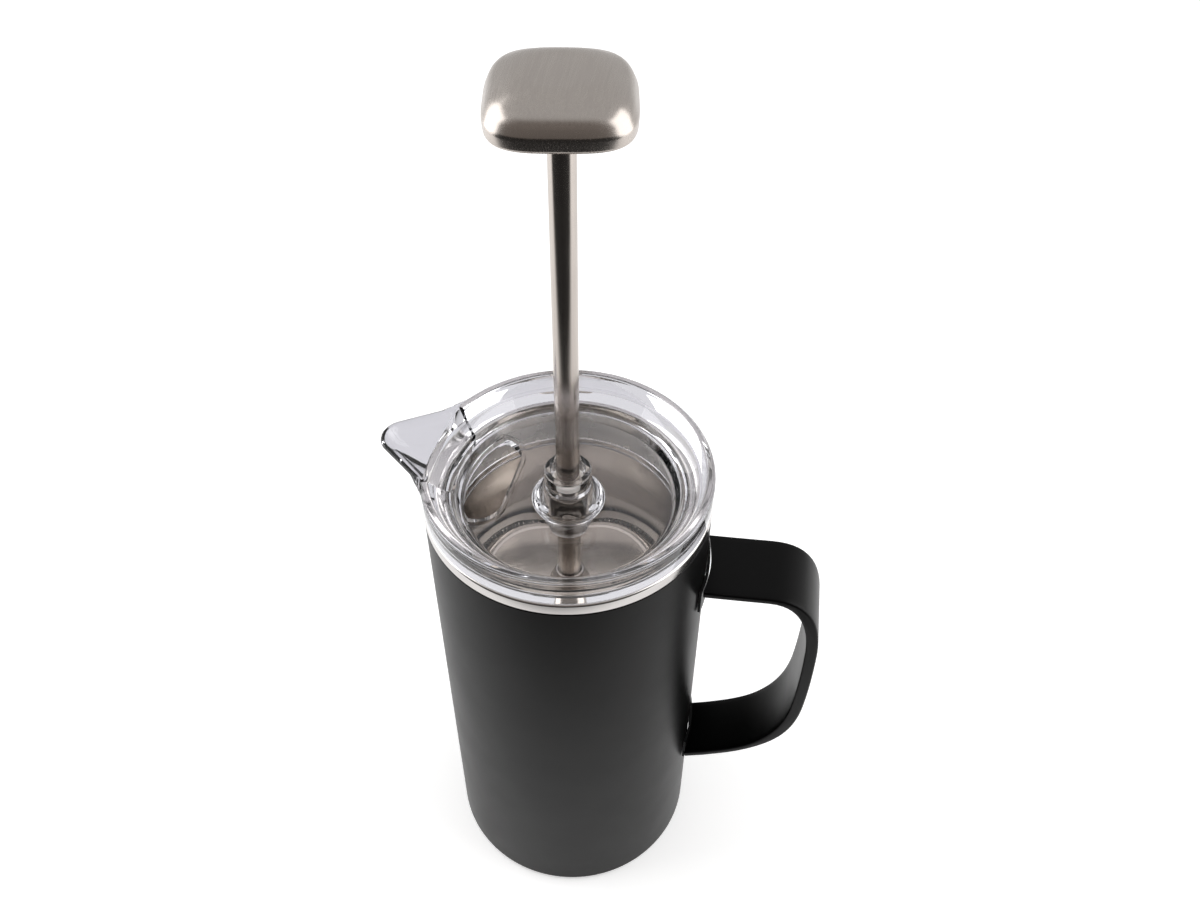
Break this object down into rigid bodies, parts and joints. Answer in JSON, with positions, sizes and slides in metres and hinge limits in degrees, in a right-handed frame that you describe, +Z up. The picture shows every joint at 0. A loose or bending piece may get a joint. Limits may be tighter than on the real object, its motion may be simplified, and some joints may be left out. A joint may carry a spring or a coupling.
{
  "type": "french press",
  "caption": "Tall round double-walled coffee press with a strap handle, a clear lid with a beak spout, and a steel plunger that carries a mesh filter.",
  "frame": {"origin": "centre of the base's resting face, on the pot's axis", "axes": "+Z up along the pot's axis, +X towards the handle; the spout points towards -X, turned 6 degrees as the lid was set on the pot"},
  "size_m": [0.1608, 0.1, 0.3554],
  "materials": {
    "black_coat": "matt powder coat",
    "liner_steel": "polished rim, satin inside",
    "brushed_steel": "fine brushed satin",
    "filter_steel": "bright rolled sheet",
    "clear_plastic": "clear, glossy",
    "clear_silicone": "translucent, satin"
  },
  "bodies": {
    "vessel": {"outer_shell": "black_coat", "inner_vessel": "liner_steel", "base_plate": "black_coat", "evacuation_plug": "liner_steel", "getter_capsule": "liner_steel", "handle_strap": "black_coat", "handle_upper_saddle": "black_coat", "handle_lower_saddle": "black_coat"},
    "lid_seal": {"lid_gasket": "clear_silicone"},
    "lid_top": {"lid": "clear_plastic", "rod_seal": "clear_silicone"},
    "filter_pack": {"rod_collar": "brushed_steel", "filter_top_plate": "filter_steel", "coil_spring": "filter_steel", "mesh_screen": "filter_steel", "cross_plate": "filter_steel", "cross_plate_hub": "filter_steel"},
    "rod_and_knob": {"plunger_rod": "brushed_steel", "knob_shell": "brushed_steel", "knob_base_plate": "brushed_steel", "knob_insert": "filter_steel"}
  },
  "joints": [
    {"name": "lid_lift", "type": "slide", "parent": "vessel", "child": "lid_seal", "axis": [0, 0, 1], "range_m": [0, 0.03]},
    {"name": "lid_turn", "type": "hinge", "parent": "lid_seal", "child": "lid_top", "pos_m": [0, 0, 0.2], "axis": [0, 0, 1], "continuous": true},
    {"name": "plunger_slide", "type": "slide", "parent": "lid_top", "child": "filter_pack", "axis": [0, 0, 1], "range_m": [-0.124, 0.024]},
    {"name": "rod_turn", "type": "hinge", "parent": "filter_pack", "child": "rod_and_knob", "pos_m": [0, 0, 0.148], "axis": [0, 0, 1], "continuous": true}
  ]
}
